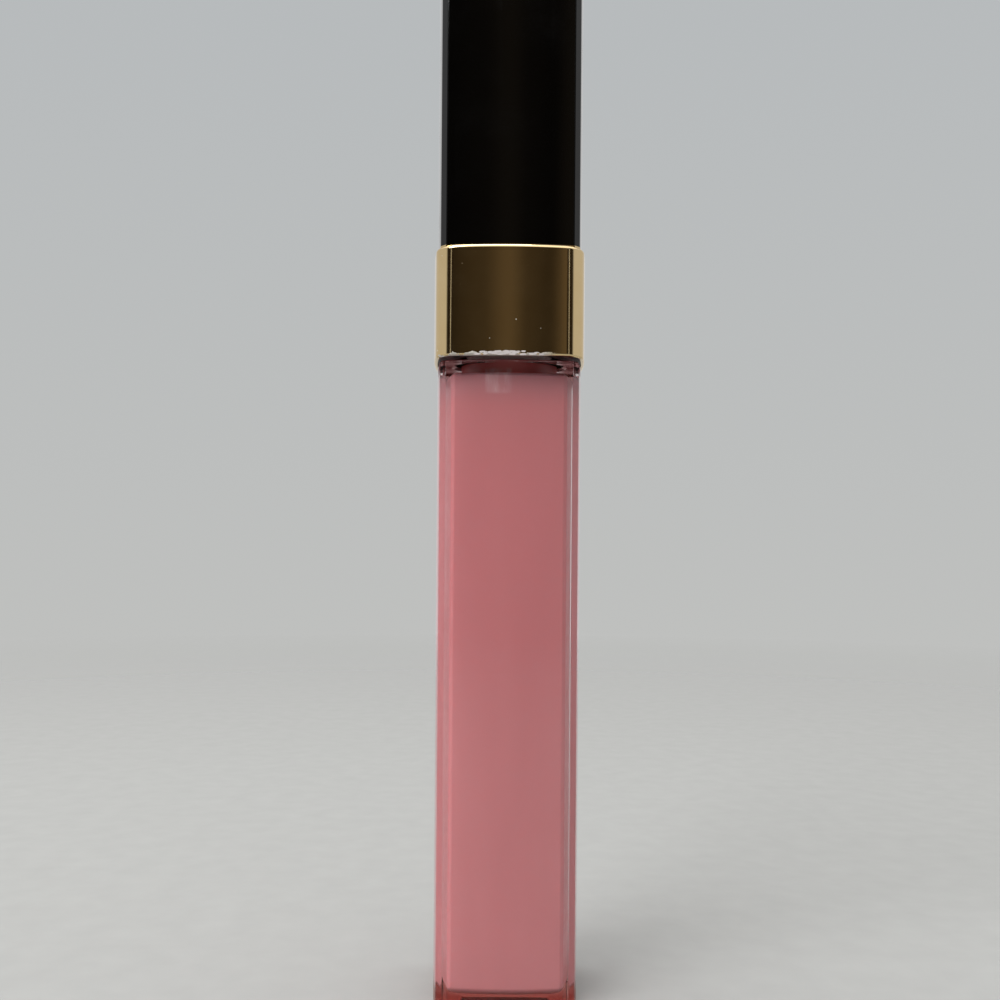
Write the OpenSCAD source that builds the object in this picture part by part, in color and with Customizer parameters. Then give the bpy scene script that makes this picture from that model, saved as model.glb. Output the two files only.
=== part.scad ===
// Square lip gloss tube: a clear, thick-walled bottle of tinted gloss, closed by a tall square cap
// with a gilt collar. The cap unscrews from the round neck and then draws out its wand.
// Millimetres. The origin is the centre of the underside, and +Z runs up to the top of the cap.

/* [Bottle] */
// Width of the bottle across the crowns of its faces
body_w = 14; // [13.2:0.1:14.1]
// Height of the bottle from its underside to the top of its shoulder
body_h = 61; // [45:0.1:82]
// Thickness of the bottle's side walls
wall = 1.3; // [1.1:0.05:1.5]
// Thickness of the clear floor under the gloss
floor_t = 1.8; // [1.2:0.1:4]
// Thickness of the clear shoulder over the gloss
shoulder_t = 1.1; // [1:0.1:3]
// How far the middle of each side face stands out from its edges
crown = 0.5; // [0.3:0.05:0.8]
// Run along a face that the flat on each upright corner takes away
corner_cut = 0.55; // [0.4:0.05:1]

/* [Neck and thread] */
// Outer diameter of the round neck
neck_d = 10; // [9.8:0.1:10.4]
// Bore of the neck
neck_bore = 8.6; // [8.4:0.1:9]
// Height of the neck above the shoulder
neck_h = 7.1; // [6.6:0.1:7.2]
// Rise of the thread in one turn
thread_pitch = 2.5; // [2:0.1:2.8]
// Turns that the cap makes before the thread lets go
thread_turns = 1.25; // [1:0.05:1.3]
// Height of each thread ridge above its wall
thread_depth = 0.4; // [0.3:0.05:0.4]

/* [Cap] */
// Overall height of the closed tube
total_h = 115; // [105:0.5:140]
// Width of the gilt collar across the crowns of its faces
collar_w = 14.7; // [14.6:0.05:15.2]
// Height of the gilt collar
collar_h = 10.35; // [9.5:0.05:13]
// Run along a face that the flat on each of the collar's outer corners takes away
collar_cut = 1.15; // [0.7:0.05:1.3]
// Open gap between the bottle's shoulder and the collar
cap_gap = 0.3; // [0.2:0.05:0.5]
// Thickness of the cap's side walls
shell_t = 1; // [0.8:0.05:1]
// Height of the steel slug in the cap
weight_h = 12; // [4:1:16]

/* [Wand] */
// Diameter of the wand's stem
stem_d = 3.8; // [3:0.1:3.8]
// Height of the applicator's lowest point above the underside
tip_z = 4.5; // [4:0.5:10]
// Length of the flocked part of the applicator
flock_l = 14; // [10:1:18]
// Diameter of the flocked part of the applicator
flock_d = 4; // [3.4:0.1:4]

/* [Hidden] */
$fn = 96;
arc_fn = 360;                // sides of the large circles behind the crowned faces
hair = 0.02;                 // gap between pieces that are pushed or glued together
seat_gap = 0.05;             // gap between pieces that only rest on each other
play = 0.1;                  // gap between the crests of the two threads
cut_over = 1;                // how far a cutting shape runs past the face that it cuts

// Crowned outline: face_k is how far the centre of each face's arc lies behind the axis
face_chord = body_w / 2 - crown - corner_cut;
face_k = (pow(face_chord, 2) + pow(crown, 2)) / (2 * crown) - body_w / 2;

// Bottle
chamber_w = body_w - 2 * wall;
chamber_cut = 0.3;           // flat on the chamber's upright corners
chamber_top = body_h - shoulder_t;
neck_r = neck_d / 2;
bore_r = neck_bore / 2;
neck_top = body_h + neck_h;
label_r = 4;
label_t = 0.15;
label_recess = 0.3;
channel_foot = 1;            // gloss-free room left under the applicator's tip

// Thread ridges
ridge_root_w = 1.1;
ridge_crest_w = 0.5;
ridge_steps = 36;            // steps of the helix in one turn
ridge_fade = 6;              // steps over which each end of a ridge fades away
ridge_sink = 0.1;            // how deep a ridge is rooted in its wall
ridge_z = body_h + 2.2;      // where the neck's ridge starts

// Wiper
wiper_rim_t = 0.6;
wiper_rim_inset = 0.1;       // how far the wiper's rim stays inside the edge of the neck
wiper_rim_r = neck_r - wiper_rim_inset;
wiper_wall = 0.6;
wiper_l = 7;
lip_play = 0.35;             // gap between the wiper's lip and the flock
lip_r = flock_d / 2 + lip_play;
lip_t = 0.5;
lip_slope = 1.2;             // height over which the wiper narrows to its lip

// Cap, from the mouth of the bottle upwards
washer_t = 0.7;
washer_z = neck_top + wiper_rim_t + seat_gap;
washer_r = 5;
washer_play = 0.3;           // gap between the washer and the stem
ceiling_z = washer_z + washer_t + hair;
ceiling_t = 1;
liner_top = ceiling_z + ceiling_t;
collar_z = body_h + cap_gap;
collar_t = (collar_w - body_w) / 2 - hair;
liner_inset = 0.25;          // how far the liner's rim is set up inside the collar
liner_r = neck_r + 2 * thread_depth + play;
spigot_h = 10;
spigot_bore = 4.2;
shell_z = liner_top + hair;
shell_top_t = 1.2;
weight_r = 5.2;
weight_gap = 0.3;            // gap between the spigot and the weight
weight_z = liner_top + spigot_h + weight_gap;

// Wand
stem_r = stem_d / 2;
head_play = 0.1;             // gap between the stem's head and the spigot's bore
head_r = spigot_bore - head_play;
head_t = 1.6;
core_r = 1.1;
core_tip_r = 0.7;            // radius of the core's thin lower end
core_socket = 4.5;           // how deep the core is pushed into the stem
flock_top = tip_z + flock_l;
collet_l = 1.5;              // bare length of core between flock and stem
stem_z = flock_top + collet_l;
flock_skin = 0.5;            // thickness of flock under the end of the core
slant = 24;                  // angle of the applicator's slanted face to the wand
slant_flat = 0.25;           // how much of the flock's radius the slanted face leaves at the tip
channel_play = 0.4;          // gap between the flock and the gloss
channel_r = flock_d / 2 + channel_play;

// Outline of every square piece: four crowned faces, w across, with a flat on each corner that
// takes away a run of cut along both of its faces
module crowned_square(w, cut = corner_cut) {
    face_r = w / 2 + face_k;
    corner_span = sqrt(2 * pow(face_r, 2) - pow(cut + face_k, 2)) - face_k;
    intersection() {
        intersection_for (side = [0:3])
            rotate(90 * side) translate([0, -face_k]) circle(face_r, $fn = arc_fn);
        rotate(45) square(corner_span * sqrt(2), center = true);
    }
}

module crowned_block(w, z_low, z_high, cut = corner_cut) {
    translate([0, 0, z_low]) linear_extrude(z_high - z_low) crowned_square(w, cut);
}

module rod(r, z_low, z_high) {
    translate([0, 0, z_low]) cylinder(r = r, h = z_high - z_low);
}

// One helical thread ridge on a wall of radius wall_r. It stands outwards where way is 1 and
// inwards where way is -1, and its ends fade into the wall.
module thread_ridge(wall_r, way, z_start) {
    last = round(thread_turns * ridge_steps);
    points = [for (i = [0:last]) let (
        turn = 360 * i / ridge_steps,
        z = z_start + thread_pitch * i / ridge_steps,
        rise = thread_depth * max(0.1, min(1, i / ridge_fade, (last - i) / ridge_fade)),
        root = wall_r - way * ridge_sink,
        crest = wall_r + way * rise,
        low = [[root, -ridge_root_w / 2], [crest, -ridge_crest_w / 2]],
        high = [[crest, ridge_crest_w / 2], [root, ridge_root_w / 2]]
    ) for (p = concat(low, high)) [p[0] * cos(turn), p[0] * sin(turn), z + p[1]]];
    sides = [for (i = [0:last - 1], j = [0:3]) let (
        a = 4 * i + j,
        b = 4 * i + (j + 1) % 4
    ) for (face = [[b + 4, a + 4, a], [b, b + 4, a]]) face];
    first_end = [[2, 1, 0], [3, 2, 0]];
    last_end = [for (face = first_end) [face[2], face[1], face[0]] + 4 * last * [1, 1, 1]];
    outward = concat(sides, first_end, last_end);
    inward = [for (face = outward) [face[2], face[1], face[0]]];
    polyhedron(points, way > 0 ? outward : inward);
}

module bottle() {
    color([0.95, 0.86, 0.87, 0.4]) {
        difference() {
            union() {
                crowned_block(body_w, 0, body_h);
                rod(neck_r, body_h - hair, neck_top);
            }
            crowned_block(chamber_w, -cut_over, chamber_top, chamber_cut);
            rod(bore_r, chamber_top - cut_over, neck_top + cut_over);
        }
        thread_ridge(neck_r, 1, ridge_z);
    }
}

module base_plug() {
    color([0.9, 0.8, 0.82, 0.5])
    difference() {
        crowned_block(chamber_w - 2 * hair, 0, floor_t, chamber_cut);
        rod(label_r, -cut_over, label_recess);
    }
}

module base_label() {
    color("gainsboro") rod(label_r - 2 * hair, label_recess - label_t - hair, label_recess - hair);
}

// The gloss fills the chamber and the root of the neck, with a channel where the wand stands
module gloss_fill() {
    color([0.72, 0.43, 0.45])
    difference() {
        union() {
            crowned_block(chamber_w - 2 * hair, floor_t + hair, chamber_top - hair, chamber_cut);
            rod(bore_r - hair, chamber_top - 2 * hair, neck_top - wiper_l - seat_gap);
        }
        rod(channel_r, tip_z - channel_foot, neck_top);
    }
}

module wiper() {
    sleeve_r = bore_r - hair;
    inner_r = sleeve_r - wiper_wall;
    low = neck_top - wiper_l;
    color("ivory")
    rotate_extrude() polygon([
        [lip_r, low], [sleeve_r, low + lip_slope], [sleeve_r, neck_top], [wiper_rim_r, neck_top],
        [wiper_rim_r, neck_top + wiper_rim_t], [inner_r, neck_top + wiper_rim_t],
        [inner_r, low + lip_slope + lip_t], [lip_r, low + lip_t],
    ]);
}

module sealing_washer() {
    color("whitesmoke")
    difference() {
        rod(washer_r, washer_z, washer_z + washer_t);
        rod(stem_r + washer_play, washer_z - cut_over, washer_z + washer_t + cut_over);
    }
}

module cap_weight() {
    color("slategray") rod(weight_r, weight_z, weight_z + weight_h);
}

module cap_shell() {
    color([0.03, 0.03, 0.03])
    difference() {
        crowned_block(body_w, shell_z, total_h);
        crowned_block(body_w - 2 * shell_t, shell_z - cut_over, total_h - shell_top_t);
    }
}

module collar() {
    color("goldenrod")
    difference() {
        crowned_block(collar_w, collar_z, collar_z + collar_h, collar_cut);
        crowned_block(collar_w - 2 * collar_t, collar_z - cut_over, collar_z + collar_h + cut_over);
    }
}

// The threaded liner: a cup over the neck, and a spigot that fills the foot of the shell
module inner_cap() {
    cup_w = collar_w - 2 * collar_t - 2 * hair;
    spigot_w = body_w - 2 * shell_t - 2 * hair;
    color([0.08, 0.08, 0.09]) {
        difference() {
            union() {
                crowned_block(cup_w, collar_z + liner_inset, liner_top);
                crowned_block(spigot_w, liner_top - hair, liner_top + spigot_h);
            }
            rod(liner_r, collar_z - cut_over, ceiling_z);
            rod(stem_r + hair, ceiling_z - cut_over, liner_top + cut_over);
            rod(spigot_bore, liner_top, liner_top + spigot_h + cut_over);
        }
        thread_ridge(liner_r, -1, ridge_z + thread_pitch / 2);
    }
}

module wand_stem() {
    color([0.1, 0.1, 0.11])
    difference() {
        union() {
            rod(stem_r, stem_z, liner_top + head_t);
            rod(head_r, liner_top + hair, liner_top + head_t);
        }
        rod(core_r + hair, stem_z - cut_over, stem_z + core_socket + hair);
    }
}

// The core tapers below the stem and ends inside the flock
module core_shape(gap) {
    rod(core_r + gap, flock_top - collet_l, stem_z + core_socket);
    translate([0, 0, tip_z + flock_skin - gap])
        cylinder(r1 = core_tip_r + gap, r2 = core_r + gap, h = flock_l - flock_skin - collet_l + gap);
}

module applicator_core() {
    color([0.93, 0.9, 0.88]) intersection() {
        core_shape(0);
        flock_envelope(flock_skin);
    }
}

// Round-ended flocked foot, cut by one slanted face. A skin greater than 0 pulls that face and the
// round end inwards, so that the same shape keeps the core covered.
module flock_envelope(skin) {
    r = flock_d / 2;
    reach = 2 * flock_l;
    difference() {
        union() {
            rod(r, tip_z + r, stem_z + core_socket);
            translate([0, 0, tip_z + r]) sphere(r - skin);
        }
        translate([0, -r * slant_flat + skin, tip_z])
            rotate([slant - 90, 0, 0]) translate([-r - cut_over, 0, -reach])
                cube([2 * (r + cut_over), reach, reach]);
    }
}

module applicator_flock() {
    color([0.78, 0.5, 0.52])
    difference() {
        intersection() {
            flock_envelope(0);
            rod(flock_d / 2 + cut_over, tip_z - cut_over, flock_top);
        }
        intersection() {
            core_shape(hair);
            flock_envelope(flock_skin - hair);
        }
    }
}

bottle();
base_plug();
base_label();
gloss_fill();
wiper();
sealing_washer();
cap_weight();
cap_shell();
collar();
inner_cap();
wand_stem();
applicator_core();
applicator_flock();
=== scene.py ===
"""Looks for a square lip gloss tube: clear bottle of pink gloss, worn gilt collar, black cap.

Every length is in metres, in the frame of the CAD model. The main sizes come from the boxes of
its nodes, and the small ones are given here.
"""
import math
import random

import bpy
from mathutils import Matrix, Vector


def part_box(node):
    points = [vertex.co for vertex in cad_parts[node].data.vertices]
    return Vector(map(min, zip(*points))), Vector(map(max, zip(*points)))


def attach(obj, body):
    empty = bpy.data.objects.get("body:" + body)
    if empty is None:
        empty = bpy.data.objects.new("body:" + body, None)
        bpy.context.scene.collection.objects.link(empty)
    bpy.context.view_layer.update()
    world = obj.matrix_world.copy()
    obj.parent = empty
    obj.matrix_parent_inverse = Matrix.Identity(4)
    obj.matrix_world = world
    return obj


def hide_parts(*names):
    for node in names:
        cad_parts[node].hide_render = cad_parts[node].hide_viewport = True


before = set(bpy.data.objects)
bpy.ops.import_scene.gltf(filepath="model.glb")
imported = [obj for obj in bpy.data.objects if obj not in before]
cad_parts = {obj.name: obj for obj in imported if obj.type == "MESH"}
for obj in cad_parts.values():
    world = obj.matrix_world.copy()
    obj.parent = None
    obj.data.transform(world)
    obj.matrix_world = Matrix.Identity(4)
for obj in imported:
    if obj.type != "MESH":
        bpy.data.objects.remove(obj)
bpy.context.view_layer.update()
random.seed(7)

MM = 0.001
LAP = 0.02 * MM          # how far a piece that is moulded or poured against another runs into it


# ---------------------------------------------------------------- sizes

def width(node):
    """Size of a node from side to side."""
    low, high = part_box(node)
    return high.x - low.x


def span(node):
    """Lowest and highest point of a node."""
    low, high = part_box(node)
    return low.z, high.z


SHELL_LOW, CAP_TOP = span("cap_shell")
COLLAR_LOW, COLLAR_HIGH = span("collar")
PLUG_TOP = span("base_plug")[1]
NECK_TOP = span("bottle")[1]
WIPER_LOW, WIPER_HIGH = span("wiper")
LINER_LOW, SPIGOT_TOP = span("inner_cap")
WASHER_LOW, WASHER_HIGH = span("sealing_washer")
STEM_LOW, HEAD_TOP = span("wand_stem")
FLOCK_LOW, FLOCK_HIGH = span("applicator_flock")

HALF = width("bottle") / 2          # from the axis to the crown of a face, on bottle and cap
COLLAR_HALF = width("collar") / 2
CHAMBER_W = width("gloss_fill")
CHAMBER_HALF = CHAMBER_W / 2 + LAP

CAP_GAP = 0.3 * MM                  # air between the bottle's shoulder and the collar
SHOULDER = COLLAR_LOW - CAP_GAP
SHOULDER_T = 1.1 * MM
CHAMBER_TOP = SHOULDER - SHOULDER_T
GLOSS_TOP = WIPER_LOW - 0.05 * MM

CROWN = 0.5 * MM                    # how far the middle of a face stands out
BODY_CUT = 0.55 * MM                # run of the flat on each corner of bottle and cap
COLLAR_CUT = 1.15 * MM
CHAMBER_CUT = 0.3 * MM
BODY_FILLET = 0.3 * MM              # rounding between a face and its corner flat
COLLAR_FILLET = 1.6 * MM
CHAMBER_FILLET = 0.25 * MM
BODY_EASE = 0.3 * MM                # rounding of the bottle's foot and shoulder
CAP_EASE = 0.45 * MM                # rounding of the top edges of cap and collar
COLLAR_FOOT_EASE = 0.22 * MM
CHAMBER_EASE = 0.3 * MM             # slope between the chamber's walls and its ceiling
GLOSS_ROUND = 0.7 * MM              # rounding of the gloss along the floor of the chamber

# A face is an arc about a point that lies this far behind the axis.
FACE_CHORD = HALF - CROWN - BODY_CUT
FACE_K = (FACE_CHORD ** 2 + CROWN ** 2) / (2 * CROWN) - HALF

NECK_R = 5 * MM
BORE_R = 4.3 * MM
LINER_R = 5.9 * MM
STEM_R = 1.9 * MM
FLOCK_R = width("applicator_flock") / 2
CHANNEL_R = FLOCK_R + 0.4 * MM      # way that is left open in the gloss for the wand
THREAD_PITCH = 2.5 * MM
THREAD_TURNS = 1.25
THREAD_DEPTH = 0.4 * MM
THREAD_START = SHOULDER + 2.2 * MM
CEILING = WASHER_HIGH + 0.02 * MM   # of the liner, over the washer
LINER_TOP = CEILING + 1 * MM

FLAKE_COUNT = 38
FLAKE_T = 0.012 * MM                # thickness of the peeled plating
FIBRE_COUNT = 3600

FACE_STEPS = 9                      # points on half of one crowned face
FILLET_STEPS = 5                    # points on the rounding between a face and its corner flat
EASE_STEPS = 5                      # steps round a small edge
WIDE_EASE_STEPS = 8                 # steps round the top edges of cap and collar
ROUND_STEPS = 6                     # steps round the rounding of the gloss
THREAD_STEP = 0.16 * MM             # height between two rings of a threaded wall
FLOOR_STEPS = 64
SHARP = math.radians(32)            # edges that turn further than this stay crisp
LARGE_FACE_WEIGHT = 60              # over 50, the larger faces count for more in a shared normal


# ---------------------------------------------------------------- rings and lofts

def crowned_ring(half, cut, fillet, z):
    """Crowned square with corner flats, half across from the axis to the crown of a face."""
    radius = half + FACE_K
    flat_sum = math.sqrt(2 * radius ** 2 - (cut + FACE_K) ** 2) - FACE_K    # x + y on the flat
    inner = radius - fillet
    centre_sum = flat_sum - fillet * math.sqrt(2)                 # x + y at the fillet's centre
    apart = math.sqrt(2 * inner ** 2 - (centre_sum + FACE_K) ** 2)
    centre_x = (centre_sum + FACE_K - apart) / 2
    centre_y = centre_sum - centre_x
    touch = math.atan2(centre_y + FACE_K, centre_x)
    octant = []
    for i in range(FACE_STEPS):
        angle = math.pi / 2 + (touch - math.pi / 2) * i / FACE_STEPS
        octant.append((radius * math.cos(angle), radius * math.sin(angle) - FACE_K))
    for i in range(FILLET_STEPS + 1):
        angle = touch + (math.pi / 4 - touch) * i / FILLET_STEPS
        octant.append((centre_x + fillet * math.cos(angle), centre_y + fillet * math.sin(angle)))
    mirrored = [(y, x) for x, y in reversed(octant)][:-1]
    quarter = octant + mirrored
    ring = []
    for side in range(4):
        turn = Matrix.Rotation(-side * math.pi / 2, 2)
        ring += [turn @ Vector(point) for point in quarter]
    return [Vector((p.x, p.y, z)) for p in ring]


ANGLES = [math.atan2(p.y, p.x) for p in crowned_ring(HALF, BODY_CUT, CHAMBER_FILLET, 0)]


def round_ring(radius, z):
    """Circle whose points lie at the same angles as those of a crowned ring."""
    return [Vector((radius * math.cos(a), radius * math.sin(a), z)) for a in ANGLES]


def round_rings(outline):
    """One circle for each (radius, z) of an outline."""
    return [round_ring(radius, z) for radius, z in outline]


def body_rings(half, heights):
    """The section of bottle and cap, or a smaller one like it, at each of these heights."""
    return [crowned_ring(half, BODY_CUT, BODY_FILLET, z) for z in heights]


def chamber_ring(inset, z):
    """Wall of the chamber, or a line this far inside it."""
    return crowned_ring(CHAMBER_HALF - inset, CHAMBER_CUT, CHAMBER_FILLET, z)


def thread_rise(angle, z, start):
    """Height of the thread's ridge over its wall at one place, from 0 to THREAD_DEPTH."""
    root_half = 0.55 * MM
    crest_half = 0.25 * MM
    fade = math.pi / 3
    best = 0.0
    for lap in range(math.ceil(THREAD_TURNS)):
        turned = angle % (2 * math.pi) + 2 * math.pi * lap
        if not 0 <= turned <= THREAD_TURNS * 2 * math.pi:
            continue
        off = abs(z - start - THREAD_PITCH * turned / (2 * math.pi))
        slope = min(1.0, max(0.0, (root_half - off) / (root_half - crest_half)))
        ends = min(1.0, turned / fade, (THREAD_TURNS * 2 * math.pi - turned) / fade)
        best = max(best, slope * slope * (3 - 2 * slope) * ends)
    return best * THREAD_DEPTH


def threaded_rings(radius, way, start, low, high):
    """Rings of a threaded round wall from low to high. The ridge stands out where way is 1."""
    count = math.ceil(abs(high - low) / THREAD_STEP)
    rings = []
    for i in range(count + 1):
        z = low + (high - low) * i / count
        ring = []
        for a in ANGLES:
            r = radius + way * thread_rise(a, z, start)
            ring.append(Vector((r * math.cos(a), r * math.sin(a), z)))
        rings.append(ring)
    return rings


def quarter_arc(radius, steps):
    """(inset, rise) pairs along a quarter circle that starts upright and ends level."""
    arc = []
    for i in range(steps + 1):
        angle = math.pi / 2 * i / steps
        arc.append((radius * (1 - math.cos(angle)), radius * math.sin(angle)))
    return arc


def eased_top(half, cut, fillet, top, ease, steps=EASE_STEPS):
    """Rings that round the top edge of a square piece."""
    return [crowned_ring(half - inset, cut, fillet, top - ease + rise)
            for inset, rise in quarter_arc(ease, steps)]


def eased_foot(half, cut, fillet, low, ease, steps=EASE_STEPS):
    """Rings that round the bottom edge of a square piece, from the edge up to the wall."""
    return [crowned_ring(half - inset, cut, fillet, low + ease - rise)
            for inset, rise in reversed(quarter_arc(ease, steps))]


def add_mesh(name, points, faces):
    """Smooth-shaded object whose sharp edges keep their own normals."""
    mesh = bpy.data.meshes.new(name)
    mesh.from_pydata(points, [], faces)
    mesh.validate()
    mesh.shade_smooth()
    mesh.set_sharp_from_angle(angle=SHARP)
    piece = bpy.data.objects.new(name, mesh)
    bpy.context.scene.collection.objects.link(piece)
    return piece


def loft(name, rings, closed=False):
    """Skins equal rings, listed up the outside of a solid and down its inside.

    A closed loft joins its last ring to its first. Any other gets a flat cap at both ends.
    """
    count = len(rings[0])
    points = [p for ring in rings for p in ring]
    joins = len(rings) if closed else len(rings) - 1
    faces = []
    for i in range(joins):
        here = i * count
        there = (i + 1) % len(rings) * count
        for j in range(count):
            k = (j + 1) % count
            faces.append((here + j, there + j, there + k, here + k))
    if not closed:
        top = (len(rings) - 1) * count
        faces.append(tuple(range(count)))
        faces.append(tuple(top + j for j in reversed(range(count))))
    return add_mesh(name, points, faces)


def finish_piece(piece, material, body, slot, *nodes):
    """Gives a piece its material and its body, and hides the CAD nodes that it stands for. slot is
    not used.
    """
    piece.data.materials.append(material)
    normals = piece.modifiers.new("weighted normals", "WEIGHTED_NORMAL")
    normals.keep_sharp = True
    normals.weight = LARGE_FACE_WEIGHT
    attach(piece, body)
    if nodes:
        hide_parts(*nodes)
    return piece


# ---------------------------------------------------------------- node helpers

MIX_FACTOR = 0           # sockets of a Mix node that is set to colours
MIX_FIRST = 6
MIX_SECOND = 7
MIX_RESULT = 2


def new_material(name):
    """Material with an empty node tree."""
    material = bpy.data.materials.new(name)
    material.use_nodes = True
    material.node_tree.nodes.clear()
    return material


def put(tree, kind, sockets=None, **settings):
    """Adds a node. sockets maps its inputs to values or to the outputs that feed them."""
    node = tree.nodes.new(kind)
    for key, value in settings.items():
        setattr(node, key, value)
    for key, value in (sockets or {}).items():
        if isinstance(value, bpy.types.NodeSocket):
            tree.links.new(value, node.inputs[key])
        else:
            node.inputs[key].default_value = value
    return node


def place(tree):
    """Position on the piece, in metres of the row frame."""
    return put(tree, "ShaderNodeTexCoord").outputs["Object"]


def along(tree, axis):
    """One coordinate of the position."""
    return put(tree, "ShaderNodeSeparateXYZ", {"Vector": place(tree)}).outputs[axis]


def stretched(tree, scale):
    """Position, scaled along each axis."""
    return put(tree, "ShaderNodeMapping", {"Vector": place(tree), "Scale": scale}).outputs[0]


def speckle(tree, scale, detail=3.0, rough=0.5, stretch=(1, 1, 1), twist=0.0):
    """Noise from 0 to 1 with this many features to the metre."""
    return put(tree, "ShaderNodeTexNoise", {
        "Vector": stretched(tree, stretch), "Scale": scale, "Detail": detail,
        "Roughness": rough, "Distortion": twist}).outputs["Fac"]


def remap(tree, value, low, high, to_low=0.0, to_high=1.0):
    """Value, with low to high turned into to_low to to_high and held there beyond."""
    return put(tree, "ShaderNodeMapRange", {
        "Value": value, "From Min": low, "From Max": high,
        "To Min": to_low, "To Max": to_high}).outputs["Result"]


def combine(tree, operation, first, second):
    """Result of a sum on two values."""
    return put(tree, "ShaderNodeMath", {0: first, 1: second}, operation=operation).outputs[0]


def times(tree, first, second):
    """Product of two values."""
    return combine(tree, "MULTIPLY", first, second)


def magnitude(tree, value):
    """Value without its sign."""
    return put(tree, "ShaderNodeMath", {0: value}, operation="ABSOLUTE").outputs[0]


def mix_colours(tree, factor, first, second):
    """Colour between two others. Each is linear (red, green, blue) or a node's output."""
    node = put(tree, "ShaderNodeMix", {"Factor": factor}, data_type="RGBA")
    for key, value in ((MIX_FIRST, first), (MIX_SECOND, second)):
        if isinstance(value, bpy.types.NodeSocket):
            tree.links.new(value, node.inputs[key])
        else:
            node.inputs[key].default_value = (*value, 1)
    return node.outputs[MIX_RESULT]


def mix_shaders(tree, factor, first, second):
    """Shader between two others."""
    return put(tree, "ShaderNodeMixShader", {
        0: factor, 1: first.outputs[0], 2: second.outputs[0]}).outputs[0]


def bump(tree, height, distance, strength=1.0):
    """Normal of a surface whose relief is this deep."""
    return put(tree, "ShaderNodeBump", {
        "Height": height, "Distance": distance, "Strength": strength}).outputs["Normal"]


def principled(material, sockets):
    """Gives a material one Principled shader."""
    tree = material.node_tree
    shader = put(tree, "ShaderNodeBsdfPrincipled", sockets)
    put(tree, "ShaderNodeOutputMaterial", {"Surface": shader.outputs[0]})


# ---------------------------------------------------------------- materials

def painted_shade_tint(tree):
    """Colour of the clear plastic, with painted shade: maroon along its foot, a painted reflection
    of the gloss's shaded underside, and dark in the corners of its shoulder, painted shade under the
    collar.

    Both are fitted, and they are painted shade, not stains of the plastic. Both stains are fitted by
    eye, and what causes them isn't known.
    """
    wall = (0.97, 0.94, 0.945)
    # painted shade colours: maroon for the foot, dark for the corners of the shoulder
    painted_shade_maroon = (0.85, 0.62, 0.59)
    painted_corner_shade = (0.33, 0.17, 0.17)
    blur = 0.3 * MM
    z = along(tree, "Z")
    # painted shade: maroon low on the foot, dark in the shoulder's corners under the collar
    foot_shade_mask = remap(tree, z, PLUG_TOP + 0.1 * MM, PLUG_TOP + 0.4 * MM, 1, 0)
    across = magnitude(tree, along(tree, "X"))
    deep = magnitude(tree, along(tree, "Y"))
    inward = combine(tree, "MINIMUM", across, deep)
    corner_shade_mask = times(tree, remap(tree, inward, 3.4 * MM, 5.0 * MM),
                   remap(tree, z, CHAMBER_TOP - blur, CHAMBER_TOP + blur))
    return mix_colours(tree, corner_shade_mask, mix_colours(tree, foot_shade_mask, wall, painted_shade_maroon), painted_corner_shade)


def clear_plastic():
    """Thick clear plastic with a faint haze, moulding waves and handling marks."""
    material = new_material("clear_plastic")
    tree = material.node_tree
    haze = speckle(tree, 260, 4.0)
    waves = speckle(tree, 60, 1.0, stretch=(1, 1, 0.3))
    glass = put(tree, "ShaderNodeBsdfGlass", {
        # colour with painted shade at the foot and in the corners of the shoulder
        "Color": painted_shade_tint(tree),
        "Roughness": remap(tree, haze, 0.45, 0.8, 0.0, 0.06),
        "IOR": 1.5,
        "Normal": bump(tree, waves, 0.02 * MM, 0.5)})
    through = put(tree, "ShaderNodeBsdfTransparent", {"Color": (0.95, 0.93, 0.93, 1)})
    shadow = put(tree, "ShaderNodeLightPath").outputs["Is Shadow Ray"]
    both = mix_shaders(tree, shadow, glass, through)
    put(tree, "ShaderNodeOutputMaterial", {"Surface": both})
    return material


def smear_mask(tree):
    """Patch of fine air streaks high on the front of the gloss, left of its middle."""
    left = 1.0 * MM
    below = 0.7 * MM
    sideways = magnitude(tree, combine(tree, "ADD", along(tree, "X"), left))
    upright = magnitude(tree, combine(tree, "SUBTRACT", along(tree, "Z"), CHAMBER_TOP - below))
    inside = times(tree, remap(tree, sideways, 1.15 * MM, 1.3 * MM, 1, 0),
                   remap(tree, upright, 1.05 * MM, 1.35 * MM, 1, 0))
    front = combine(tree, "LESS_THAN", along(tree, "Y"), -0.3 * CHAMBER_W)
    streaks = remap(tree, speckle(tree, 1100, 3.0, 0.6, (1, 1, 0.25)), 0.36, 0.66, 0.12, 0.8)
    return times(tree, times(tree, inside, front), streaks)


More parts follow.
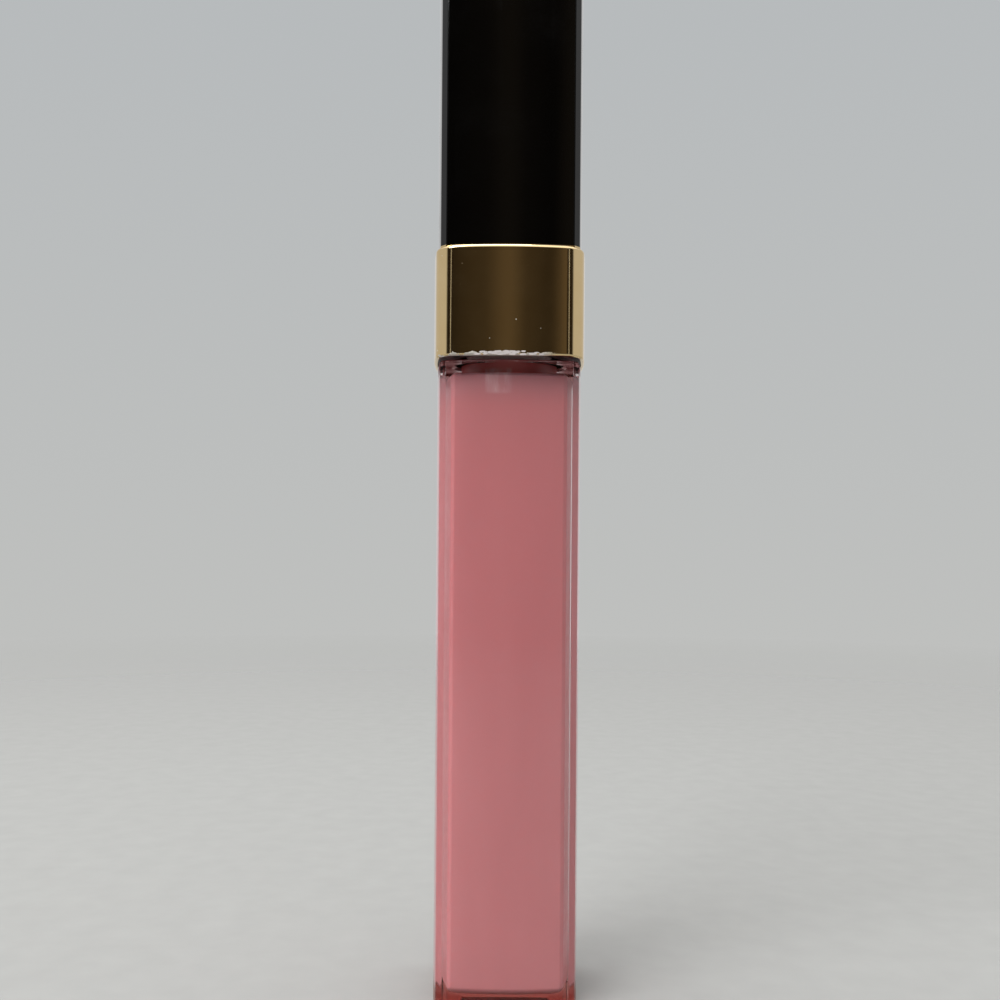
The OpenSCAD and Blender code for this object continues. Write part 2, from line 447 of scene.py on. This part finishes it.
def gloss():
    """Creamy pink gloss with soft streaks, and painted shade: greyer and darker towards the neck,
    under the collar, and deep maroon inside the neck.
    """
    cream = (0.53, 0.195, 0.205)
    pale_cream = (0.58, 0.225, 0.235)
    painted_shade_grey = (0.45, 0.21, 0.23)
    painted_shade_maroon = (0.52, 0.10, 0.10)
    airy = (0.62, 0.44, 0.45)
    material = new_material("gloss")
    tree = material.node_tree
    streaks = speckle(tree, 90, 3.0, stretch=(1, 1, 0.2), twist=0.6)
    colour = mix_colours(tree, remap(tree, streaks, 0.3, 0.7), cream, pale_cream)
    # painted shade: the gloss greys and darkens towards the collar, and turns deep maroon in the
    # neck that collar and cap shade
    collar_shade_mask = remap(tree, along(tree, "Z"), CHAMBER_TOP - 3 * MM, CHAMBER_TOP)
    neck_shade_mask = remap(tree, along(tree, "Z"), CHAMBER_TOP - 0.05 * MM, CHAMBER_TOP)
    colour = mix_colours(tree, collar_shade_mask, colour, painted_shade_grey)
    colour = mix_colours(tree, neck_shade_mask, colour, painted_shade_maroon)
    colour = mix_colours(tree, smear_mask(tree), colour, airy)
    fine = speckle(tree, 1500, 2.0)
    principled(material, {
        "Base Color": colour,
        "Roughness": remap(tree, fine, 0.3, 0.7, 0.28, 0.4),
        "Subsurface Weight": 0.25,
        "Subsurface Radius": (1.0, 0.45, 0.4),
        "Subsurface Scale": 0.9 * MM,
        "Normal": bump(tree, streaks, 0.02 * MM, 0.4)})
    return material


def worn_plating(tree):
    """1 where the plating is gone: a ragged strip low on the front, and a few pits."""
    pit_size = 0.055
    strip = 0.62 * MM
    cells = put(tree, "ShaderNodeTexVoronoi", {"Vector": place(tree), "Scale": 900.0})
    pits = combine(tree, "LESS_THAN", cells.outputs["Distance"], pit_size)
    ragged = times(tree, speckle(tree, 700, 5.0, 0.65), 1.5 * MM)
    height = combine(tree, "SUBTRACT", along(tree, "Z"), COLLAR_LOW + 0.05 * MM)
    edge = combine(tree, "LESS_THAN", height, combine(tree, "SUBTRACT", ragged, strip))
    front = combine(tree, "LESS_THAN", along(tree, "Y"), -0.8 * COLLAR_HALF)
    where = remap(tree, speckle(tree, 110, 1.0), 0.5, 0.56)
    peeled = times(tree, times(tree, edge, front), where)
    return combine(tree, "MAXIMUM", peeled, times(tree, pits, where))


def gilt():
    """Gold plating: satin-polished, specked with pits, peeling to pale primer at the lower edge."""
    primer = (0.62, 0.58, 0.52)
    material = new_material("gilt")
    tree = material.node_tree
    mottle = speckle(tree, 420, 4.0)
    worn = worn_plating(tree)
    gold = mix_colours(tree, mottle, (0.64, 0.47, 0.235), (0.71, 0.55, 0.31))
    principled(material, {
        "Base Color": mix_colours(tree, worn, gold, primer),
        "Metallic": remap(tree, worn, 0.0, 1.0, 1.0, 0.0),
        "Roughness": combine(tree, "MAXIMUM", remap(tree, mottle, 0.3, 0.75, 0.07, 0.12),
                             times(tree, worn, 0.55)),
        "Normal": bump(tree, combine(tree, "SUBTRACT", mottle, worn), 0.015 * MM, 0.35)})
    return material


def black_gloss():
    """Glossy black moulded plastic with fine hairlines and faint fingerprints."""
    material = new_material("black_gloss")
    tree = material.node_tree
    smudge = speckle(tree, 130, 5.0, 0.6)
    hairs = speckle(tree, 900, 2.0, stretch=(1, 1, 0.04))
    rough = combine(tree, "ADD", remap(tree, smudge, 0.45, 0.75, 0.06, 0.2),
                    remap(tree, hairs, 0.62, 0.8, 0.0, 0.08))
    principled(material, {
        "Base Color": mix_colours(tree, smudge, (0.0003, 0.0003, 0.0003), (0.0008, 0.0008, 0.001)),
        "Roughness": rough,
        "IOR": 1.45,
        "Normal": bump(tree, hairs, 0.004 * MM, 0.3)})
    return material


def moulded(name, colour, paler, rough, grain=1200):
    """Plain moulded plastic or foam with a fine grain."""
    material = new_material(name)
    tree = material.node_tree
    texture = speckle(tree, grain, 4.0)
    principled(material, {
        "Base Color": mix_colours(tree, speckle(tree, grain / 5), colour, paler),
        "Roughness": remap(tree, texture, 0.3, 0.7, rough - 0.06, rough + 0.08),
        "Normal": bump(tree, texture, 0.01 * MM, 0.4)})
    return material


def stem_plastic():
    """Black moulded rod with streaks of the gloss that its wiper leaves on the lower part."""
    black = (0.016, 0.016, 0.017)
    gloss_film = (0.36, 0.12, 0.13)
    material = new_material("stem_plastic")
    tree = material.node_tree
    grain = speckle(tree, 1200, 4.0)
    below = remap(tree, along(tree, "Z"), WIPER_LOW - 6 * MM, WIPER_LOW, 1, 0)
    streaks = remap(tree, speckle(tree, 700, 5.0, 0.6, (1, 1, 0.12), 0.3), 0.44, 0.7, 0.0, 0.7)
    film = times(tree, streaks, below)
    relief = combine(tree, "ADD", film, times(tree, grain, 0.2))
    principled(material, {
        "Base Color": mix_colours(tree, film, black, gloss_film),
        "Roughness": combine(tree, "SUBTRACT", remap(tree, grain, 0.3, 0.7, 0.28, 0.4),
                             times(tree, film, 0.18)),
        "Normal": bump(tree, relief, 0.03 * MM, 0.5)})
    return material


def steel():
    """Turned steel with fine rings."""
    material = new_material("steel")
    tree = material.node_tree
    rings = speckle(tree, 300, 2.0, stretch=(0.05, 0.05, 12))
    principled(material, {
        "Base Color": mix_colours(tree, rings, (0.42, 0.43, 0.44), (0.56, 0.56, 0.57)),
        "Metallic": 1.0,
        "Roughness": remap(tree, rings, 0.3, 0.7, 0.25, 0.42),
        "Normal": bump(tree, rings, 0.01 * MM, 0.4)})
    return material


def flock():
    """Nylon flock soaked with gloss: dark wet patches between paler dry fibres."""
    dry = (0.72, 0.40, 0.42)
    soaked = (0.50, 0.16, 0.18)
    material = new_material("flock")
    tree = material.node_tree
    wet = remap(tree, speckle(tree, 500, 4.0, twist=0.5), 0.4, 0.6)
    principled(material, {
        "Base Color": mix_colours(tree, wet, dry, soaked),
        "Roughness": remap(tree, wet, 0.0, 1.0, 0.8, 0.25),
        "Sheen Weight": 0.4,
        "Normal": bump(tree, speckle(tree, 6000, 2.0), 0.03 * MM, 0.6)})
    return material


CLEAR = clear_plastic()
GLOSS = gloss()
GILT = gilt()
BLACK = black_gloss()
LINER = moulded("black_matte", (0.008, 0.008, 0.009), (0.018, 0.018, 0.02), 0.45)
STEM = stem_plastic()
WIPER = moulded("wiper_plastic", (0.68, 0.62, 0.57), (0.78, 0.73, 0.68), 0.4)
WASHER = moulded("washer_foam", (0.72, 0.72, 0.70), (0.86, 0.86, 0.84), 0.8, 3000)
LABEL = moulded("label_film", (0.70, 0.70, 0.69), (0.78, 0.78, 0.77), 0.5, 800)
CORE = moulded("core_plastic", (0.74, 0.66, 0.62), (0.82, 0.76, 0.72), 0.35)
FLAKE = moulded("peeled_plating", (0.58, 0.53, 0.52), (0.86, 0.81, 0.80), 0.42, 2500)
STEEL = steel()
FLOCK = flock()


# ---------------------------------------------------------------- bottle and gloss

def build_bottle():
    """Clear shell with a threaded neck, open at the bottom."""
    neck_root = 0.25 * MM
    lip = 0.2 * MM
    rings = [chamber_ring(0, 0)]
    rings += eased_foot(HALF, BODY_CUT, BODY_FILLET, 0, BODY_EASE)
    rings += eased_top(HALF, BODY_CUT, BODY_FILLET, SHOULDER, BODY_EASE)
    rings += [round_ring(NECK_R + neck_root, SHOULDER)]
    rings += threaded_rings(NECK_R, 1, THREAD_START, SHOULDER + neck_root, NECK_TOP - lip)
    rings += [round_ring(NECK_R - lip, NECK_TOP), round_ring(BORE_R, NECK_TOP)]
    rings += [round_ring(BORE_R, CHAMBER_TOP), chamber_ring(CHAMBER_EASE, CHAMBER_TOP)]
    rings += [chamber_ring(0, CHAMBER_TOP - CHAMBER_EASE)]
    piece = loft("bottle_shell", rings, closed=True)
    finish_piece(piece, CLEAR, "tube", "clear_plastic", "bottle")


def build_plug():
    """Clear floor of the chamber, dished on top and recessed below for the label."""
    label_r = 4 * MM
    recess = 0.3 * MM
    rings = [round_ring(label_r, recess), round_ring(label_r, 0), chamber_ring(-LAP, 0)]
    rings += [chamber_ring(inset - LAP, PLUG_TOP + GLOSS_ROUND - rise)
              for inset, rise in quarter_arc(GLOSS_ROUND, ROUND_STEPS)]
    piece = loft("base_plug_dished", rings)
    finish_piece(piece, CLEAR, "tube", "clear_plastic", "base_plug")


def build_gloss():
    """Gloss that fills chamber and neck, with a channel for the wand."""
    top = CHAMBER_TOP + LAP
    rings = [chamber_ring(inset - 2 * LAP, PLUG_TOP - LAP + GLOSS_ROUND - rise)
             for inset, rise in reversed(quarter_arc(GLOSS_ROUND, ROUND_STEPS))]
    rings += [chamber_ring(-2 * LAP, top - CHAMBER_EASE), chamber_ring(CHAMBER_EASE, top)]
    rings += [round_ring(BORE_R + LAP, top), round_ring(BORE_R + LAP, GLOSS_TOP)]
    rings += [round_ring(CHANNEL_R, GLOSS_TOP), round_ring(CHANNEL_R, FLOCK_LOW - 1 * MM)]
    piece = loft("gloss_body", rings)
    finish_piece(piece, GLOSS, "tube", "gloss", "gloss_fill")


def build_wiper():
    """Sleeve in the neck with a rim on its mouth and a lip at its foot."""
    sleeve_r = BORE_R - LAP
    wall = 0.6 * MM
    lip_r = FLOCK_R + 0.35 * MM
    lip_t = 0.5 * MM
    slope = 1.2 * MM
    rim_r = NECK_R - 0.1 * MM
    ease = 0.12 * MM
    outline = [
        (lip_r, WIPER_LOW), (sleeve_r, WIPER_LOW + slope), (sleeve_r, NECK_TOP), (rim_r, NECK_TOP),
        (rim_r, WIPER_HIGH - ease), (rim_r - ease, WIPER_HIGH), (sleeve_r - wall + ease, WIPER_HIGH),
        (sleeve_r - wall, WIPER_HIGH - ease), (sleeve_r - wall, WIPER_LOW + slope + lip_t),
        (lip_r, WIPER_LOW + lip_t),
    ]
    piece = loft("wiper_insert", round_rings(outline), closed=True)
    finish_piece(piece, WIPER, "tube", "wiper_plastic", "wiper")


# ---------------------------------------------------------------- cap

def build_collar():
    """Gilt sleeve, kept in by the thickness of the chips that lie on it."""
    half = COLLAR_HALF - FLAKE_T
    rings = eased_foot(half, COLLAR_CUT, COLLAR_FILLET, COLLAR_LOW, COLLAR_FOOT_EASE)
    rings += eased_top(half, COLLAR_CUT, COLLAR_FILLET, COLLAR_HIGH, CAP_EASE, WIDE_EASE_STEPS)
    rings += body_rings(HALF + LAP, (COLLAR_HIGH, COLLAR_LOW))
    piece = loft("collar_sleeve", rings, closed=True)
    finish_piece(piece, GILT, "cap", "gilt", "collar")


def front_y(half, x):
    """Y of a crowned front face at x."""
    return FACE_K - math.sqrt((half + FACE_K) ** 2 - x ** 2)


def flake_outline():
    """Outline of one chip, wider than it is high, on the front of the collar."""
    wide = 1.7
    flat = 0.5
    middle = random.triangular(-3.2, 4.6, -1.8) * MM
    size = random.uniform(0.1, 0.32) * MM
    height = COLLAR_LOW + random.uniform(0.04, 0.36) * MM
    sides = random.choice((5, 6, 7))
    outline = []
    for i in range(sides):
        angle = 2 * math.pi * i / sides
        reach = size * random.uniform(0.5, 1.0)
        x = middle + wide * reach * math.cos(angle)
        z = max(COLLAR_LOW, height + flat * reach * math.sin(angle))
        outline.append(Vector((x, front_y(COLLAR_HALF, x), z)))
    return outline


def build_flakes():
    """Chips of plating that lift off the lower edge at the front of the collar."""
    points = []
    faces = []
    for _ in range(FLAKE_COUNT):
        front = flake_outline()
        sides = len(front)
        start = len(points)
        points += front + [point + Vector((0, FLAKE_T, 0)) for point in front]
        faces.append(tuple(start + i for i in range(sides)))
        faces.append(tuple(start + sides + i for i in reversed(range(sides))))
        for i in range(sides):
            k = (i + 1) % sides
            faces.append((start + k, start + i, start + sides + i, start + sides + k))
    piece = add_mesh("plating_flakes", points, faces)
    finish_piece(piece, FLAKE, "cap", "gilt")


def build_shell():
    """Black cover of the cap, open at the bottom."""
    wall = 1 * MM
    roof = CAP_TOP - 1.2 * MM
    rings = body_rings(HALF - wall, (roof, SHELL_LOW))
    rings += body_rings(HALF, (SHELL_LOW,))
    rings += eased_top(HALF, BODY_CUT, BODY_FILLET, CAP_TOP, CAP_EASE, WIDE_EASE_STEPS)
    piece = loft("cap_cover", rings)
    finish_piece(piece, BLACK, "cap", "black_gloss", "cap_shell")


def build_liner():
    """Threaded cup inside the collar, with a spigot on top that holds shell and wand."""
    spigot = HALF - 1 * MM - LAP
    bore = 4.2 * MM
    ease = 0.3 * MM
    rings = [round_ring(STEM_R + LAP, LINER_TOP), round_ring(STEM_R + LAP, CEILING)]
    rings += [round_ring(LINER_R, CEILING)]
    rings += threaded_rings(LINER_R, -1, THREAD_START + THREAD_PITCH / 2, CEILING - ease,
                            LINER_LOW + ease)
    rings += [round_ring(LINER_R + ease, LINER_LOW)]
    rings += body_rings(HALF, (LINER_LOW, LINER_TOP))
    rings += body_rings(spigot, (LINER_TOP, SPIGOT_TOP))
    rings += [round_ring(bore, SPIGOT_TOP), round_ring(bore, LINER_TOP)]
    piece = loft("liner_cup", rings, closed=True)
    finish_piece(piece, LINER, "cap", "black_matte", "inner_cap")


def build_washer():
    """Foam ring over the bottle's mouth."""
    inner = STEM_R + 0.3 * MM
    outer = width("sealing_washer") / 2
    ease = 0.08 * MM
    outline = [(outer - ease, WASHER_LOW), (outer, WASHER_LOW + ease), (outer, WASHER_HIGH - ease),
               (outer - ease, WASHER_HIGH), (inner, WASHER_HIGH), (inner, WASHER_LOW)]
    piece = loft("washer_ring", round_rings(outline), closed=True)
    finish_piece(piece, WASHER, "cap_lift", "washer_foam", "sealing_washer")


def build_weight():
    """Steel slug with bevelled edges."""
    low, high = span("cap_weight")
    outer = width("cap_weight") / 2
    ease = 0.4 * MM
    outline = [(outer - ease, low), (outer, low + ease), (outer, high - ease), (outer - ease, high)]
    piece = loft("weight_slug", round_rings(outline))
    finish_piece(piece, STEEL, "cap_screw", "steel", "cap_weight")


# ---------------------------------------------------------------- wand

def build_stem():
    """Rod with a head that rests on the liner."""
    head_r = width("wand_stem") / 2
    ease = 0.15 * MM
    outline = [(STEM_R - ease, STEM_LOW), (STEM_R, STEM_LOW + ease), (STEM_R, LINER_TOP + LAP),
               (head_r, LINER_TOP + LAP), (head_r, HEAD_TOP - ease), (head_r - ease, HEAD_TOP)]
    piece = loft("stem_rod", round_rings(outline))
    finish_piece(piece, STEM, "cap", "stem_plastic", "wand_stem")


def flock_point(angle, z):
    """Point on the flocked foot, rounded at its end and cut by its slanted face."""
    low = FLOCK_LOW + 0.02 * MM
    pile = 0.12 * MM
    slant = math.tan(math.radians(24))
    r = FLOCK_R - pile
    up = z - low
    if up < r:
        r = math.sqrt(max(0.0, r * r - (r - up) ** 2))
    cut = -0.25 * FLOCK_R - up * slant
    return Vector((r * math.cos(angle), max(r * math.sin(angle), cut), z))


def build_flock():
    """Foot under the fibres. Its rings lie closer together towards the rounded end."""
    low = FLOCK_LOW + 0.03 * MM
    steps = 70
    crowding = 1.4
    rings = []
    for i in range(steps + 1):
        z = low + (FLOCK_HIGH - low) * (i / steps) ** crowding
        rings.append([flock_point(a, z) for a in ANGLES])
    piece = loft("flock_foot", rings)
    finish_piece(piece, FLOCK, "cap", "flock", "applicator_flock")


def fibre():
    """Points of one fibre that stands off the flocked foot: three at its root, then its tip."""
    angle = random.uniform(0, 2 * math.pi)
    z = random.uniform(FLOCK_LOW + 0.25 * MM, FLOCK_HIGH - 0.15 * MM)
    root = flock_point(angle, z)
    side = flock_point(angle + 0.05, z) - root
    rise = flock_point(angle, z + 0.1 * MM) - root
    out = side.cross(rise).normalized()
    lean = Vector([random.uniform(-0.5, 0.5) for _ in range(3)])
    tip = root + (out + lean).normalized() * random.uniform(0.07, 0.115) * MM
    thick = 0.016 * MM
    side = side.normalized() * thick
    rise = rise.normalized() * thick
    sunk = root - out * 0.03 * MM
    return [sunk + side, sunk - side / 2 + rise, sunk - side / 2 - rise, tip]


def build_fibres():
    """Short nylon fibres, each one a closed spike."""
    spike = ((0, 1, 3), (1, 2, 3), (2, 0, 3), (0, 2, 1))
    points = []
    faces = []
    for _ in range(FIBRE_COUNT):
        start = len(points)
        points += fibre()
        faces += [(start + a, start + b, start + c) for a, b, c in spike]
    piece = add_mesh("flock_fibres", points, faces)
    finish_piece(piece, FLOCK, "cap", "flock")


def dress_nodes():
    """CAD nodes whose shape is right as it is get their material."""
    for node, material in (("base_label", LABEL), ("applicator_core", CORE)):
        for mesh_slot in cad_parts[node].material_slots:
            mesh_slot.material = material


# ---------------------------------------------------------------- studio

def build_camera():
    """Camera in front of the tube, level with the bottle."""
    data = bpy.data.cameras.new("camera")
    data.sensor_width = 36
    data.lens = 37.8
    data.shift_y = 0.06
    data.clip_start = 1 * MM
    lean = math.radians(0.43)
    camera = bpy.data.objects.new("camera", data)
    camera.location = Vector((-0.75 * MM, -HALF - 97 * MM, 42.4 * MM))
    camera.rotation_euler = (math.pi / 2, -lean, 0)
    bpy.context.scene.collection.objects.link(camera)
    bpy.context.scene.camera = camera


def build_floor():
    """Pale floor that fades into the pale surroundings.

    A film of air under the base lets light be reflected inside the clear foot.
    """
    air = 0.03 * MM
    solid_to = 0.12
    gone_by = 0.5
    material = new_material("floor")
    tree = material.node_tree
    grain = speckle(tree, 250, 5.0)
    matt = put(tree, "ShaderNodeBsdfDiffuse", {
        "Color": mix_colours(tree, grain, (0.29, 0.292, 0.284), (0.325, 0.327, 0.318))})
    away = put(tree, "ShaderNodeVectorMath", {0: place(tree)}, operation="LENGTH").outputs["Value"]
    clear = put(tree, "ShaderNodeBsdfTransparent")
    both = mix_shaders(tree, remap(tree, away, solid_to, gone_by), matt, clear)
    put(tree, "ShaderNodeOutputMaterial", {"Surface": both})
    rim = []
    for i in range(FLOOR_STEPS):
        angle = 2 * math.pi * i / FLOOR_STEPS
        rim.append(Vector((math.cos(angle), math.sin(angle), 0)))
    floor = add_mesh("floor", rim, [tuple(range(FLOOR_STEPS))])
    floor.location.z = -air
    floor.data.materials.append(material)


def graded(tree, value, tint, stops):
    """Tint that follows value through (position, brightness) stops, smoothly."""
    ramp = put(tree, "ShaderNodeValToRGB", {"Fac": value})
    ramp.color_ramp.interpolation = "EASE"
    while len(ramp.color_ramp.elements) < len(stops):
        ramp.color_ramp.elements.new(0.5)
    for element, (position, level) in zip(ramp.color_ramp.elements, stops):
        element.position = position
        element.color = (*(level * part for part in tint), 1)
    return ramp.outputs["Color"]


def lighter(tree, first, second):
    """The lighter of two colours, channel by channel."""
    return put(tree, "ShaderNodeMix", {MIX_FACTOR: 1.0, MIX_FIRST: first, MIX_SECOND: second},
               data_type="RGBA", blend_type="LIGHTEN").outputs[MIX_RESULT]


def surroundings(tree, x, y, z):
    """Light from each direction: a dim warm room in front, pale sides, a window and a ceiling."""
    black = (0, 0, 0)
    warm = (1.07, 0.82, 0.53)
    room = graded(tree, remap(tree, x, -1, 1), warm, [
        (0.0, 0.02), (0.30, 0.025), (0.42, 0.05), (0.50, 0.105), (0.56, 0.05),
        (0.62, 0.035), (0.68, 0.12), (0.74, 0.03)])
    sides = remap(tree, y, -0.42, -0.22)
    window = put(tree, "ShaderNodeMath", {0: y, 1: -0.74, 2: 0.025}, operation="COMPARE").outputs[0]
    lit = combine(tree, "MAXIMUM", sides, times(tree, window, 0.9))
    level = mix_colours(tree, lit, black, (0.68, 0.68, 0.68))
    ceiling = mix_colours(tree, remap(tree, z, 0.6, 0.75), black, (1.9, 1.9, 1.9))
    return lighter(tree, lighter(tree, room, level), ceiling)


def build_world():
    """Pale surroundings. The camera sees a plain backdrop instead of their lights."""
    world = bpy.data.worlds.new("studio")
    world.use_nodes = True
    tree = world.node_tree
    tree.nodes.clear()
    direction = put(tree, "ShaderNodeTexCoord").outputs["Generated"]
    x, y, z = put(tree, "ShaderNodeSeparateXYZ", {"Vector": direction}).outputs
    backdrop = mix_colours(tree, remap(tree, z, -0.3, 0.45), (0.54, 0.54, 0.52),
                           (0.475, 0.495, 0.505))
    seen = put(tree, "ShaderNodeLightPath").outputs["Is Camera Ray"]
    colour = mix_colours(tree, seen, surroundings(tree, x, y, z), backdrop)
    background = put(tree, "ShaderNodeBackground", {"Color": colour, "Strength": 1.0})
    put(tree, "ShaderNodeOutputWorld", {"Surface": background.outputs[0]})
    bpy.context.scene.world = world


def add_softbox(name, spot, size, power):
    """Square area light, size in metres and power in watts, aimed at the middle of the tube."""
    data = bpy.data.lights.new(name, "AREA")
    data.size = size
    data.energy = power
    lamp = bpy.data.objects.new(name, data)
    lamp.location = spot
    aim = Vector((0, 0, CAP_TOP / 2)) - lamp.location
    lamp.rotation_euler = aim.to_track_quat("-Z", "Y").to_euler()
    bpy.context.scene.collection.objects.link(lamp)


build_bottle()
build_plug()
build_gloss()
build_wiper()
build_collar()
build_flakes()
build_shell()
build_liner()
build_washer()
build_weight()
build_stem()
build_flock()
build_fibres()
dress_nodes()
build_floor()
build_world()
build_camera()
add_softbox("key", Vector((-0.35, -0.35, 0.55)), size=0.35, power=3.0)
add_softbox("top", Vector((-0.08, 0.0, 0.7)), size=0.28, power=1.5)
bpy.context.scene.view_settings.view_transform = "Standard"
